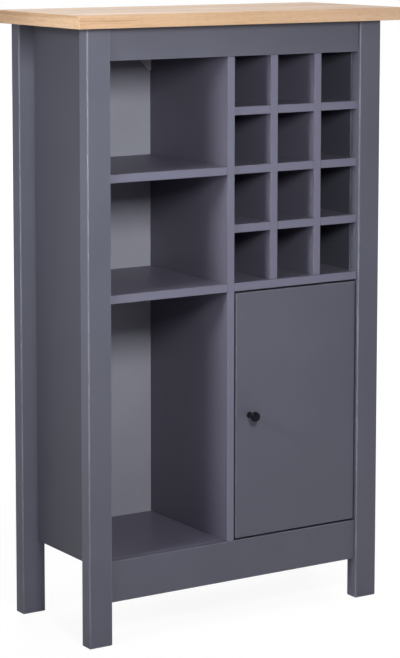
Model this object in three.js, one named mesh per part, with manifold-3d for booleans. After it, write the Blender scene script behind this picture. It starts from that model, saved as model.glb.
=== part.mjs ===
// Wine cabinet with three open compartments, a bottle rack and a cupboard with one inset door.
// Millimetres, +Z up, front towards -Y. The origin is on the floor, under the middle of the worktop.
import * as THREE from 'three';
import { mergeVertices } from 'three/addons/utils/BufferGeometryUtils.js';
import Module from 'manifold-3d';

const wasm = await Module();
wasm.setup();

// Worktop
const overallHeight = 1200;
const worktopThickness = 25;
const worktopSideOverhang = 35;
const worktopFrontOverhang = 32;
const worktopEdge = 1.5;

// Carcass outside the legs, and the gap left between pieces that touch
const carcassWidth = 674;
const carcassDepth = 294;
const boardThickness = 16;
const fit = 0.3;

// Legs
const legWidth = 50;
const legDepth = 30;
const legProud = 6;
const legEdge = 2.5;

// Rails
const topRailHeight = 62;
const bottomRailHeight = 80;
const bottomRailClearance = 82;
const railEdge = 1;

// Compartments and bottle rack
const leftOpeningWidth = 264;
const rackCellHeight = 98;
const rackRows = 4;
const rackColumns = 3;
const rackSetback = 4;

// Back panel, let into rebates in the rear legs
const backThickness = 3;
const rebateWidth = 8;

// Door
const doorThickness = 16;
const doorGap = 4;
const doorEdge = 1;

// Knob, turned about its own axis, and its screw
const knobInset = 32;
const knobLength = 25;
const knobBaseRadius = 6.5;
const knobBaseThickness = 2.5;
const knobNeckRadius = 4.2;
const knobHeadRadius = 10;
const knobHeadThickness = 10;
const knobRimRadius = 2.5;
const knobBoreDepth = 10;

// Dowels in the ends of the rails
const dowelRadius = 4;
const dowelLength = 30;

// Corner bracket under the ceiling board
const bracketLeg = 42;
const bracketSheet = 1.5;
const bracketTip = 3;
const bracketTopFlange = 14;
const bracketSideFlange = 4.5;
const bracketHoleRadius = 3.5;
const bracketHoleInset = 12;

// Wood screws of the hinges and of the bracket, and machine screws of the knob and of the arms
const woodShankRadius = 1.7;
const woodHeadRadius = 3.4;
const woodHeadRise = 1.9;
const woodScrewLength = 12;
const machineShankRadius = 2;
const machineHeadRadius = 4.2;
const machineHeadRise = 2.2;
const armScrewLength = 8;

// Cup of the hinges, let into the back of the door
const hingeInset = 90;
const cupRadius = 17.5;
const cupEdgeDistance = 5;
const cupDepth = 11.5;
const cupWall = 1;
const cupFlangeRadius = 20;
const cupFlangeThickness = 1.2;
const cupWingRadius = 6.5;
const cupScrewSpacing = 45;
const cupScrewOffset = 9.5;

// Pivot of the hinges: its depth behind the door's back face, its pin and the lugs that hold the pin
const pivotDepth = 7;
const pinRadius = 1.5;
const pinOverhang = 1;
const eyeWall = 1.1;
const lugThickness = 2.2;
const lugGap = 0.5;

// Cranked arm of the hinges, which curves round the edge of the door as it swings
const doorOpening = 100;
const armWidth = 12;
const armNeck = 5;
const armSpoke = 6;
const armSheet = 2;
const armNose = 8;
const sweepClearance = 2;

// Mounting plate of the hinges on the side panel
const plateSetback = 37;
const plateThickness = 2;
const plateWing = 14;
const plateScrewSpacing = 32;
const ribHeight = 7;
const ribWidth = 10;
const ribLength = 38;
const armScrewSetback = 9;

// Fineness of round shapes, and how near two corners are before they count as one
const roundSides = 16;
const cupSides = 40;
const turnedSides = 32;
const arcSteps = 2;
const profileSteps = 4;
const neckSteps = 16;
const mergeDistance = 0.0001;
const overrun = 1;

// Finishes
const anthracite = { color: 0x565863, roughness: 0.45, metalness: 0 };
const oak = { color: 0xd9b27c, roughness: 0.55, metalness: 0 };
const backBoard = { color: 0x4c4e59, roughness: 0.6, metalness: 0 };
const beech = { color: 0xc9a878, roughness: 0.8, metalness: 0 };
const blackKnob = { color: 0x15141a, roughness: 0.3, metalness: 0.2 };
const nickel = { color: 0xb9b8b4, roughness: 0.3, metalness: 1 };
const zinc = { color: 0xcfcdd0, roughness: 0.4, metalness: 1 };

// Places worked out from the sizes: x of faces
const carcassRight = carcassWidth / 2;
const innerRight = carcassRight - legWidth;
const innerLeft = -innerRight;
const dividerLeft = innerLeft + leftOpeningWidth;
const dividerRight = dividerLeft + boardThickness;
const rackCellWidth = (innerRight - dividerRight - (rackColumns - 1) * boardThickness) / rackColumns;
const doorLeft = dividerRight + doorGap;
const doorRight = innerRight - doorGap;

// Places worked out from the sizes: y of faces
const worktopWidth = carcassWidth + 2 * worktopSideOverhang;
const worktopDepth = carcassDepth + worktopFrontOverhang;
const rearY = worktopDepth / 2;
const legFrontY = rearY - carcassDepth;
const legBackY = legFrontY + legDepth;
const rearLegFrontY = rearY - legDepth;
const railFrontY = legFrontY + legProud;
const railBackY = railFrontY + boardThickness;
const backFaceY = rearY - backThickness;
const boardRearY = backFaceY - fit;
const rackFrontY = railFrontY + rackSetback;
const rearRailFrontY = boardRearY - boardThickness;

// Places worked out from the sizes: z of faces
const legHeight = overallHeight - worktopThickness;
const floorTop = bottomRailClearance + bottomRailHeight;
const floorBottom = floorTop - boardThickness;
const ceiling = legHeight - topRailHeight;
const rackPitch = rackCellHeight + boardThickness;
const rackFloor = ceiling - rackRows * rackPitch + boardThickness;
const cupboardTop = rackFloor - boardThickness;
const upperShelfBottom = rackFloor + 2 * rackPitch - boardThickness;
const doorBottom = floorTop + doorGap;
const doorTop = cupboardTop - doorGap;
const doorMiddle = (doorBottom + doorTop) / 2;

// Places worked out from the sizes: the hinge axis and the circle that the door's edge sweeps about it
const doorBackY = railFrontY + doorThickness;
const pivotX = doorRight - cupEdgeDistance - cupRadius;
const pivotY = doorBackY - pivotDepth;
const pivotToFront = doorThickness - pivotDepth;
const pivotToEdge = cupEdgeDistance + cupRadius;
const pivotToWall = innerRight - pivotX;
const sweepRadius = Math.hypot(pivotToEdge, pivotToFront);
const hingeLevels = { lower: doorBottom + hingeInset, upper: doorTop - hingeInset };

// Closed solid of a geometry, ready for joining and cutting
function solidOf(geometry) {
  const bare = geometry.clone();
  bare.deleteAttribute('normal');
  bare.deleteAttribute('uv');
  const merged = mergeVertices(bare, mergeDistance);
  const corners = merged.index.array;
  const faces = [];
  for (let start = 0; start < corners.length; start += 3) {
    const [a, b, c] = corners.slice(start, start + 3);
    if (a !== b && b !== c && c !== a) faces.push(a, b, c);
  }
  const vertProperties = new Float32Array(merged.attributes.position.array);
  const mesh = new wasm.Mesh({ numProp: 3, vertProperties, triVerts: new Uint32Array(faces) });
  return new wasm.Manifold(mesh);
}

// Geometry of some shapes joined into one, less the cuts
function shaped(shapes, cuts = []) {
  let body = solidOf(shapes[0]);
  for (const shape of shapes.slice(1)) body = body.add(solidOf(shape));
  for (const cut of cuts) body = body.subtract(solidOf(cut));
  const mesh = body.getMesh();
  const geometry = new THREE.BufferGeometry();
  geometry.setAttribute('position', new THREE.BufferAttribute(mesh.vertProperties, 3));
  geometry.setIndex(new THREE.BufferAttribute(mesh.triVerts, 1));
  geometry.computeVertexNormals();
  return geometry;
}

// Named piece at a place in its parent's frame
function piece(parent, name, geometry, finish, place = [0, 0, 0]) {
  const mesh = new THREE.Mesh(geometry, new THREE.MeshStandardMaterial(finish));
  mesh.name = name;
  mesh.position.set(...place);
  parent.add(mesh);
  return mesh;
}

// Block between two opposite corners
function block(low, high) {
  const size = high.map((end, axis) => end - low[axis]);
  const centre = high.map((end, axis) => (end + low[axis]) / 2);
  return new THREE.BoxGeometry(...size).translate(...centre);
}

// Round bar between two points
function rod(radius, start, end, sides = roundSides) {
  const from = new THREE.Vector3(...start);
  const to = new THREE.Vector3(...end);
  const along = to.clone().sub(from);
  const geometry = new THREE.CylinderGeometry(radius, radius, along.length(), sides);
  const turn = new THREE.Quaternion().setFromUnitVectors(new THREE.Vector3(0, 1, 0), along.normalize());
  geometry.applyQuaternion(turn);
  return geometry.translate(...from.add(to).divideScalar(2).toArray());
}

// Solid turned about the Y axis from a closed profile of [radius, y] points
function turned(profile, sides) {
  const points = profile.map(([radius, y]) => new THREE.Vector2(radius, y));
  return new THREE.LatheGeometry(points, sides);
}

// Board between two corners of the cabinet, with cuts given in the cabinet's frame
function board(name, low, high, finish, cuts = []) {
  const centre = high.map((end, axis) => (end + low[axis]) / 2);
  const home = centre.map((value) => -value);
  const cutsHere = cuts.map((cut) => cut.translate(...home));
  piece(cabinet, name, shaped([block(low, high).translate(...home)], cutsHere), finish, centre);
}

// Flat board of a width and a height, with eased edges all round and its thickness along Y
function easedPanel(width, height, thickness, edge) {
  const outline = new THREE.Shape();
  outline.moveTo(-width / 2, -height / 2);
  outline.lineTo(width / 2, -height / 2);
  outline.lineTo(width / 2, height / 2);
  outline.lineTo(-width / 2, height / 2);
  const geometry = new THREE.ExtrudeGeometry(outline, {
    depth: thickness - 2 * edge,
    bevelSize: edge,
    bevelThickness: edge,
    bevelOffset: -edge,
    bevelSegments: 2,
  });
  geometry.translate(0, 0, edge - thickness / 2);
  return geometry.rotateX(Math.PI / 2);
}

const woodScrew = {
  shank: woodShankRadius,
  head: woodHeadRadius,
  rise: woodHeadRise,
  length: woodScrewLength,
};
const machineScrew = { shank: machineShankRadius, head: machineHeadRadius, rise: machineHeadRise };

// Screw along -Y, with the underside of its round head at the origin
function screwShape({ shank, head, rise, length }) {
  const point = shank / 2;
  const profile = [
    [0, -length],
    [point, -length],
    [shank, -length + shank],
    [shank, 0],
    [head, 0],
    [head, rise / 3],
    [head * Math.cos(Math.PI / 4), rise * Math.sin(Math.PI / 3)],
    [0, rise],
  ];
  return turned(profile, roundSides);
}

// Screw driven from a place along a direction
function screw(parent, name, size, finish, place, direction) {
  const mesh = piece(parent, name, screwShape(size), finish, place);
  mesh.quaternion.setFromUnitVectors(new THREE.Vector3(0, -1, 0), new THREE.Vector3(...direction));
}

// Hole for a screw, from its head's seat along its direction
function screwHole(size, place, direction) {
  const deep = size.length + fit;
  const start = place.map((value, axis) => value - overrun * direction[axis]);
  const end = place.map((value, axis) => value + deep * direction[axis]);
  return rod(size.shank + fit, start, end);
}

const cabinet = new THREE.Group();
cabinet.name = 'wine_cabinet';

// Dowels: two in each end of a rail, half in the rail and half in the leg
function dowelLine(railName, side, y, low, high) {
  const quarter = (high - low) / 4;
  const rows = { lower: low + quarter, upper: high - quarter };
  return Object.entries(rows).map(([row, z]) => ({
    name: `dowel_${railName}_${side < 0 ? 'left' : 'right'}_${row}`,
    side,
    place: [side * innerRight, y, z],
  }));
}

const frontRailY = (railFrontY + railBackY) / 2;
const rearRailY = (rearRailFrontY + boardRearY) / 2;
const dowels = { bottomRail: [], topRail: [], rearRail: [] };
for (const side of [-1, 1]) {
  dowels.bottomRail.push(...dowelLine('bottom_rail', side, frontRailY, bottomRailClearance, floorTop));
  dowels.topRail.push(...dowelLine('top_rail', side, frontRailY, ceiling, legHeight));
  dowels.rearRail.push(...dowelLine('rear_rail', side, rearRailY, ceiling, legHeight));
}

// Bore for a dowel, through the joint of its two pieces
function dowelBore({ place: [x, y, z] }) {
  const reach = dowelLength / 2 + fit;
  return rod(dowelRadius + fit, [x - reach, y, z], [x + reach, y, z]);
}

for (const { name, place } of Object.values(dowels).flat()) {
  const dowel = rod(dowelRadius, [-dowelLength / 2, 0, 0], [dowelLength / 2, 0, 0]);
  piece(cabinet, name, dowel, beech, place);
}

// Outline of a leg from above, from its outer front corner; side is 1 on the left and -1 on the right
function legOutline(side, rebated) {
  const outline = new THREE.Shape();
  outline.moveTo(legEdge, 0);
  outline.absarc(legWidth - legEdge, legEdge, legEdge, -Math.PI / 2, 0);
  if (rebated) {
    const rebateY = legDepth - backThickness - fit;
    outline.lineTo(legWidth, rebateY);
    outline.lineTo(legWidth - rebateWidth, rebateY);
    outline.lineTo(legWidth - rebateWidth, legDepth);
  } else {
    outline.absarc(legWidth - legEdge, legDepth - legEdge, legEdge, 0, Math.PI / 2);
  }
  outline.absarc(legEdge, legDepth - legEdge, legEdge, Math.PI / 2, Math.PI);
  outline.absarc(legEdge, legEdge, legEdge, Math.PI, 3 * Math.PI / 2);
  const points = outline.getPoints(arcSteps);
  return new THREE.Shape(points.map(({ x, y }) => new THREE.Vector2(side * x, y)));
}

function leg(name, side, frontY, rebated, bores) {
  const place = [-side * carcassRight, frontY, 0];
  const height = legHeight - fit;
  const post = new THREE.ExtrudeGeometry(legOutline(side, rebated), { depth: height, bevelEnabled: false });
  const cuts = bores.filter((dowel) => dowel.side === -side).map(dowelBore);
  for (const cut of cuts) cut.translate(-place[0], -place[1], -place[2]);
  piece(cabinet, name, shaped([post], cuts), anthracite, place);
}

const frontDowels = [...dowels.bottomRail, ...dowels.topRail];
leg('leg_front_left', 1, legFrontY, false, frontDowels);
leg('leg_front_right', -1, legFrontY, false, frontDowels);
leg('leg_rear_left', 1, rearLegFrontY, true, dowels.rearRail);
leg('leg_rear_right', -1, rearLegFrontY, true, dowels.rearRail);

// Worktop
function worktop() {
  const slab = easedPanel(worktopWidth, worktopDepth, worktopThickness, worktopEdge).rotateX(-Math.PI / 2);
  piece(cabinet, 'worktop', shaped([slab]), oak, [0, 0, overallHeight - worktopThickness / 2]);
}
worktop();

// Screws of the corner bracket, driven up into the rear rail
const bracketScrews = Object.entries({ left: 3 / 4, right: 1 / 4 }).map(([side, share]) => ({
  name: `bracket_screw_${side}`,
  place: [
    dividerLeft - fit - bracketLeg * share,
    boardRearY - bracketTopFlange / 2,
    ceiling - 2 * fit - bracketSheet,
  ],
}));

// Rail between two legs, with eased edges, bores for its dowels and other holes
function rail(name, frontY, low, high, ends, holes = []) {
  const width = 2 * (innerRight - fit);
  const place = [0, frontY + boardThickness / 2, (low + high) / 2];
  const cuts = [...ends.map(dowelBore), ...holes];
  for (const cut of cuts) cut.translate(-place[0], -place[1], -place[2]);
  const body = easedPanel(width, high - low, boardThickness, railEdge);
  piece(cabinet, name, shaped([body], cuts), anthracite, place);
}

const bracketBores = bracketScrews.map(({ place }) => screwHole(woodScrew, place, [0, 0, 1]));
rail('top_rail_front', railFrontY, ceiling, legHeight - fit, dowels.topRail);
rail('top_rail_rear', rearRailFrontY, ceiling, legHeight - fit, dowels.rearRail, bracketBores);
rail('bottom_rail_front', railFrontY, bottomRailClearance, floorTop, dowels.bottomRail);

// Side panels, with their inner faces in line with the legs' inner faces
const plateScrewY = doorBackY + plateSetback;
const plateFaceX = innerRight - fit - plateThickness;
const plateScrews = [];
for (const [level, z] of Object.entries(hingeLevels)) {
  for (const [row, side] of Object.entries({ lower: -1, upper: 1 })) {
    const place = [plateFaceX - fit, plateScrewY, z + side * plateScrewSpacing / 2];
    plateScrews.push({ name: `plate_screw_${level}_hinge_${row}`, level, place });
  }
}

function sidePanel(name, low, high, cuts) {
  board(
    name,
    [low, legBackY + fit, floorBottom],
    [high, rearLegFrontY - fit, legHeight - fit],
    anthracite,
    cuts,
  );
}

const panelBores = plateScrews.map(({ place }) => screwHole(woodScrew, place, [1, 0, 0]));
sidePanel('side_panel_left', innerLeft - boardThickness, innerLeft, []);
sidePanel('side_panel_right', innerRight, innerRight + boardThickness, panelBores);

// Bottom board and ceiling board, behind the front rails
board(
  'bottom_board',
  [innerLeft + fit, railBackY + fit, floorBottom],
  [innerRight - fit, boardRearY, floorTop],
  anthracite,
);

board(
  'ceiling_board',
  [innerLeft + fit, railBackY + fit, ceiling],
  [innerRight - fit, rearRailFrontY - fit, ceiling + boardThickness],
  anthracite,
);

// Divider, left shelves and fixed shelf
board(
  'centre_divider',
  [dividerLeft, railFrontY, floorTop + fit],
  [dividerRight, boardRearY, ceiling - fit],
  anthracite,
);

function shelf(name, left, right, bottom) {
  board(
    name,
    [left + fit, railFrontY, bottom],
    [right - fit, boardRearY, bottom + boardThickness],
    anthracite,
  );
}

shelf('shelf_left_upper', innerLeft, dividerLeft, upperShelfBottom);
shelf('shelf_left_lower', innerLeft, dividerLeft, cupboardTop);
shelf('fixed_shelf_right', dividerRight, innerRight, cupboardTop);

// Bottle rack: the boards cross in half-lap slots, the uprights slotted from the rear and the shelves from
// the front, so that the uprights run through in front
const rackDepth = boardRearY - rackFrontY;
const lapDepth = rackDepth / 2;
const slotWidth = boardThickness + 2 * fit;

// Outline of a rack board along its length, with its slots opening on the edge at y = depth
function lappedOutline(length, depth, slotCentres) {
  const outline = new THREE.Shape();
  outline.moveTo(0, 0);
  outline.lineTo(length, 0);
  outline.lineTo(length, depth);
  const slotEnd = depth - lapDepth - fit / 2;
  for (const centre of [...slotCentres].reverse()) {
    outline.lineTo(centre + slotWidth / 2, depth);
    outline.lineTo(centre + slotWidth / 2, slotEnd);
    outline.lineTo(centre - slotWidth / 2, slotEnd);
    outline.lineTo(centre - slotWidth / 2, depth);
  }
  outline.lineTo(0, depth);
  return outline;
}

function lappedBoard(length, slotCentres) {
  const outline = lappedOutline(length, rackDepth, slotCentres);
  return new THREE.ExtrudeGeometry(outline, { depth: boardThickness, bevelEnabled: false });
}

const uprightLefts = [];
for (let column = 1; column < rackColumns; column += 1) {
  uprightLefts.push(dividerRight + column * rackCellWidth + (column - 1) * boardThickness);
}
const rackShelfBottoms = [];
for (let row = 1; row < rackRows; row += 1) {
  rackShelfBottoms.push(rackFloor + row * rackPitch - boardThickness);
}

const uprightBase = rackFloor + fit;
const uprightSlots = rackShelfBottoms.map((bottom) => bottom + boardThickness / 2 - uprightBase);
uprightLefts.forEach((left, index) => {
  const upright = lappedBoard(ceiling - fit - uprightBase, uprightSlots);
  // Length along +Z, slots towards the rear, thickness along +X
  upright.applyMatrix4(new THREE.Matrix4().makeBasis(
    new THREE.Vector3(0, 0, 1),
    new THREE.Vector3(0, 1, 0),
    new THREE.Vector3(-1, 0, 0),
  ));
  upright.translate(boardThickness, 0, 0);
  piece(cabinet, `rack_upright_${index + 1}`, upright, anthracite, [left, rackFrontY, uprightBase]);
});

const rackShelfLeft = dividerRight + fit;
const rackShelfSlots = uprightLefts.map((left) => left + boardThickness / 2 - rackShelfLeft);
rackShelfBottoms.forEach((bottom, index) => {
  const length = innerRight - fit - rackShelfLeft;
  const mirroredSlots = rackShelfSlots.map((centre) => length - centre).reverse();
  const rackShelf = lappedBoard(length, mirroredSlots).rotateZ(Math.PI);
  rackShelf.translate(length, rackDepth, 0);
  piece(cabinet, `rack_shelf_${index + 1}`, rackShelf, anthracite, [rackShelfLeft, rackFrontY, bottom]);
});

// Back panel
board(
  'back_panel',
  [innerLeft - rebateWidth + fit, backFaceY, floorBottom],
  [innerRight + rebateWidth - fit, rearY, legHeight - fit],
  backBoard,
);

// Corner bracket: a triangular web against the back panel, with two flanges turned to the front
function cornerBracket() {
  const web = new THREE.Shape();
  web.moveTo(0, 0);
  web.lineTo(-bracketLeg, 0);
  web.lineTo(-bracketLeg, -bracketTip);
  web.lineTo(-bracketTip, -bracketLeg);
  web.lineTo(0, -bracketLeg);
  const plate = new THREE.ExtrudeGeometry(web, { depth: bracketSheet, bevelEnabled: false });
  plate.rotateX(Math.PI / 2);
  const topFlange = block([-bracketLeg, -bracketTopFlange, -bracketSheet], [0, 0, 0]);
  const sideFlange = block([-bracketSheet, -bracketSideFlange, -bracketLeg], [0, 0, 0]);
  const hole = rod(
    bracketHoleRadius,
    [-bracketHoleInset, -bracketSheet - overrun, -bracketHoleInset],
    [-bracketHoleInset, overrun, -bracketHoleInset],
  );
  const place = [dividerLeft - fit, boardRearY, ceiling - fit];
  const screwHoles = bracketScrews.map((each) => {
    return screwHole(woodScrew, each.place, [0, 0, 1]).translate(-place[0], -place[1], -place[2]);
  });
  const bracket = shaped([plate, topFlange, sideFlange], [hole, ...screwHoles]);
  piece(cabinet, 'corner_bracket', bracket, zinc, place);
}
cornerBracket();
for (const { name, place } of bracketScrews) screw(cabinet, name, woodScrew, zinc, place, [0, 0, 1]);

// Everything that swings, in a group whose origin is on the hinge axis at floor level
const door = new THREE.Group();
door.position.set(pivotX, pivotY, 0);
cabinet.add(door);

const knobPlace = [doorLeft + knobInset - pivotX, -pivotToFront - fit, doorMiddle];
const knobScrewPlace = [knobPlace[0], pivotDepth + fit, doorMiddle];
const knobScrew = { ...machineScrew, length: doorThickness + knobBoreDepth };

// Cup screws: two for each cup, on the side of the cup away from the door's edge
const cupFlangeY = pivotDepth + fit + cupFlangeThickness;
const cupScrewSize = { ...woodScrew, length: woodScrew.length + cupFlangeThickness };
const cupScrews = [];
for (const [level, z] of Object.entries(hingeLevels)) {
  for (const [row, side] of Object.entries({ lower: -1, upper: 1 })) {
    const place = [-cupScrewOffset, cupFlangeY + fit, z + side * cupScrewSpacing / 2];
    cupScrews.push({ name: `cup_screw_${level}_hinge_${row}`, level, place });
  }
}

function doorPanel() {
  const width = doorRight - doorLeft;
  const centre = [pivotToEdge - width / 2, pivotDepth - doorThickness / 2, doorMiddle];
  const bores = cupScrews.map(({ place }) => screwHole(cupScrewSize, place, [0, -1, 0]));
  bores.push(screwHole(knobScrew, knobScrewPlace, [0, -1, 0]));
  for (const z of Object.values(hingeLevels)) {
    bores.push(rod(cupRadius, [0, pivotDepth - cupDepth - fit, z], [0, pivotDepth + overrun, z], cupSides));
  }
  for (const bore of bores) bore.translate(-centre[0], -centre[1], -centre[2]);
  const panel = easedPanel(width, doorTop - doorBottom, doorThickness, doorEdge);
  piece(door, 'door_panel', shaped([panel], bores), anthracite, centre);
}
doorPanel();

// Knob: a flat base, a waisted neck and a round-edged head, with a bore for its screw
function doorKnob() {
  const headStart = knobLength - knobHeadThickness;
  const faceRadius = knobHeadRadius - knobRimRadius;
  const profile = new THREE.Path();
  profile.moveTo(0, 0);
  profile.lineTo(knobBaseRadius, 0);
  profile.lineTo(knobBaseRadius, knobBaseThickness);
  profile.quadraticCurveTo(knobNeckRadius, knobBaseThickness, knobNeckRadius, headStart / 2);
  profile.quadraticCurveTo(knobNeckRadius, headStart, faceRadius, headStart + knobRimRadius);
  profile.quadraticCurveTo(
    knobHeadRadius,
    headStart + knobRimRadius,
    knobHeadRadius,
    knobLength - knobHeadThickness / 2,
  );
  profile.bezierCurveTo(
    knobHeadRadius,
    knobLength - knobRimRadius / 2,
    faceRadius,
    knobLength,
    0,
    knobLength,
  );
  const shape = turned(profile.getPoints(profileSteps).map(({ x, y }) => [x, y]), turnedSides);
  const bore = rod(knobScrew.shank + fit, [0, -overrun, 0], [0, knobBoreDepth, 0]);
  const knob = piece(door, 'door_knob', shaped([shape], [bore]), blackKnob, knobPlace);
  knob.rotation.x = Math.PI;
}
doorKnob();
screw(door, 'knob_screw', knobScrew, nickel, knobScrewPlace, [0, -1, 0]);
for (const { name, place } of cupScrews) screw(door, name, cupScrewSize, nickel, place, [0, -1, 0]);

// Hinge cup: a turned pot with a flange and two wings, and two lugs inside that hold the pivot pin
const eyeRadius = pinRadius + fit + eyeWall;
const lugInner = armWidth / 2 + lugGap;
const lugOuter = lugInner + lugThickness;
const potRadius = cupRadius - fit;
const potInnerRadius = potRadius - cupWall;
const potBottom = pivotDepth - cupDepth;
const potFloor = potBottom + cupWall;

// Plate with round ends about two screws, in the XY plane with its length along Y
function wingPlate(centreX, spacing, radius, thickness) {
  const outline = new THREE.Shape();
  outline.absarc(centreX, spacing / 2, radius, 0, Math.PI);
  outline.absarc(centreX, -spacing / 2, radius, Math.PI, 2 * Math.PI);
  return new THREE.ExtrudeGeometry(outline, {
    depth: thickness,
    bevelEnabled: false,
    curveSegments: roundSides / 4,
  });
}

function hingeCup(name, level, screws) {
  const flangeBottom = pivotDepth + fit;
  const pot = turned([
    [0, potBottom],
    [potRadius, potBottom],
    [potRadius, flangeBottom],
    [cupFlangeRadius, flangeBottom],
    [cupFlangeRadius, cupFlangeY],
    [potInnerRadius, cupFlangeY],
    [potInnerRadius, potFloor],
    [0, potFloor],
  ], cupSides);
  const wings = wingPlate(-cupScrewOffset, cupScrewSpacing, cupWingRadius, cupFlangeThickness);
  wings.rotateX(Math.PI / 2).translate(0, cupFlangeY, 0);
  const mouth = rod(potInnerRadius, [0, potFloor, 0], [0, cupFlangeY + overrun, 0], cupSides);
  const shell = shaped([pot, wings], [mouth]);
  const lugFoot = potFloor - cupWall / 2;
  const lugs = [-1, 1].map((side) => {
    const inner = side * lugInner;
    const outer = side * lugOuter;
    return block(
      [-eyeRadius, lugFoot, Math.min(inner, outer)],
      [eyeRadius, eyeRadius, Math.max(inner, outer)],
    );
  });
  const pinBore = rod(pinRadius + fit, [0, 0, -lugOuter - overrun], [0, 0, lugOuter + overrun]);
  const bores = screws.map(({ place }) => {
    return screwHole(cupScrewSize, place, [0, -1, 0]).translate(0, 0, -level);
  });
  piece(door, name, shaped([shell, ...lugs], [pinBore, ...bores]), nickel, [0, 0, level]);
}

// Cranked arm, with the pivot at its origin: an eye on the pin, a spoke out of the cup's mouth, a neck round
// the circle that the door's edge sweeps, and a channel over the mounting plate's rib
const spokeAngle = (Math.PI + THREE.MathUtils.degToRad(doorOpening)) / 2;
const neckInner = sweepRadius + sweepClearance;
const neckOuter = neckInner + armNeck;
const plateOuterX = pivotToWall - fit - plateThickness;
const ribTopX = plateOuterX - ribHeight;
const webInnerX = ribTopX - fit;
const webOuterX = webInnerX - armSheet;
const armFrontY = Math.sqrt(neckInner ** 2 - webOuterX ** 2);
const ribFrontY = armFrontY + armNose + fit;
const ribRearY = ribFrontY + ribLength;
const armScrewPlace = [webOuterX - fit, ribRearY - armScrewSetback, 0];
const armScrew = { ...machineScrew, length: armScrewLength };

function neckRing() {
  const baseAngle = Math.acos(webOuterX / neckInner);
  const tipAngle = spokeAngle + Math.asin(armSpoke / 2 / neckInner);
  const outline = new THREE.Shape();
  outline.absarc(0, 0, neckOuter, baseAngle, tipAngle);
  outline.absarc(0, 0, neckInner, tipAngle, baseAngle, true);
  return new THREE.ExtrudeGeometry(outline, {
    depth: armWidth,
    bevelEnabled: false,
    curveSegments: neckSteps / 2,
  }).translate(0, 0, -armWidth / 2);
}

function hingeArm(name, level) {
  const half = armWidth / 2;
  const spokeEnd = neckInner + armNeck / 2;
  const spoke = block([0, -armSpoke / 2, -half], [spokeEnd, armSpoke / 2, half]).rotateZ(spokeAngle);
  const eye = rod(eyeRadius, [0, 0, -half], [0, 0, half]);
  const channelHalf = ribWidth / 2 + fit;
  const channel = block(
    [webOuterX, armFrontY, -channelHalf - armSheet],
    [plateOuterX - fit, ribRearY, channelHalf + armSheet],
  );
  const hollow = block(
    [webInnerX, ribFrontY - fit, -channelHalf],
    [plateOuterX + overrun, ribRearY + overrun, channelHalf],
  );
  const pinBore = rod(pinRadius + fit, [0, 0, -half - overrun], [0, 0, half + overrun]);
  const bore = screwHole(armScrew, armScrewPlace, [1, 0, 0]);
  const arm = shaped([channel, neckRing(), spoke, eye], [hollow, pinBore, bore]);
  piece(cabinet, name, arm, nickel, [pivotX, pivotY, level]);
}

// Mounting plate on the side panel, with a rib that the arm sits over
function mountingPlate(name, level, screws) {
  const centreY = pivotDepth + plateSetback;
  const wings = wingPlate(0, plateScrewSpacing, plateWing / 2, plateThickness);
  wings.applyMatrix4(new THREE.Matrix4().makeBasis(
    new THREE.Vector3(0, 1, 0),
    new THREE.Vector3(0, 0, 1),
    new THREE.Vector3(1, 0, 0),
  ));
  wings.translate(plateOuterX, centreY, 0);
  const rib = block(
    [ribTopX, ribFrontY, -ribWidth / 2],
    [plateOuterX + plateThickness, ribRearY, ribWidth / 2],
  );
  const home = [pivotX, pivotY, level];
  const bores = [screwHole(armScrew, armScrewPlace, [1, 0, 0])];
  for (const { place } of screws) {
    bores.push(screwHole(woodScrew, place, [1, 0, 0]).translate(-home[0], -home[1], -home[2]));
  }
  piece(cabinet, name, shaped([wings, rib], bores), nickel, home);
}

for (const [level, z] of Object.entries(hingeLevels)) {
  hingeCup(`${level}_hinge_cup`, z, cupScrews.filter((each) => each.level === level));
  const pinEnd = lugOuter + pinOverhang;
  piece(door, `${level}_hinge_pin`, rod(pinRadius, [0, 0, -pinEnd], [0, 0, pinEnd]), nickel, [0, 0, z]);
  hingeArm(`${level}_hinge_arm`, z);
  mountingPlate(`${level}_hinge_plate`, z, plateScrews.filter((each) => each.level === level));
  const screwHome = armScrewPlace.map((value, axis) => value + [pivotX, pivotY, z][axis]);
  screw(cabinet, `${level}_hinge_arm_screw`, armScrew, nickel, screwHome, [1, 0, 0]);
}
for (const { name, place } of plateScrews) screw(cabinet, name, woodScrew, nickel, place, [1, 0, 0]);

export default cabinet;
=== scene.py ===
"""Wine cabinet: lacquered boards, an oak worktop, a bottle rack and one door on cup hinges.

Every piece is made in metres around the cabinet's solids, with the floor at z = 0 and the front towards -Y.
"""

import math

import bmesh
import bpy
from bpy.props import FloatProperty, FloatVectorProperty, PointerProperty
from bpy.types import Operator, Panel, PropertyGroup
from mathutils import Euler, Matrix, Vector


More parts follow.
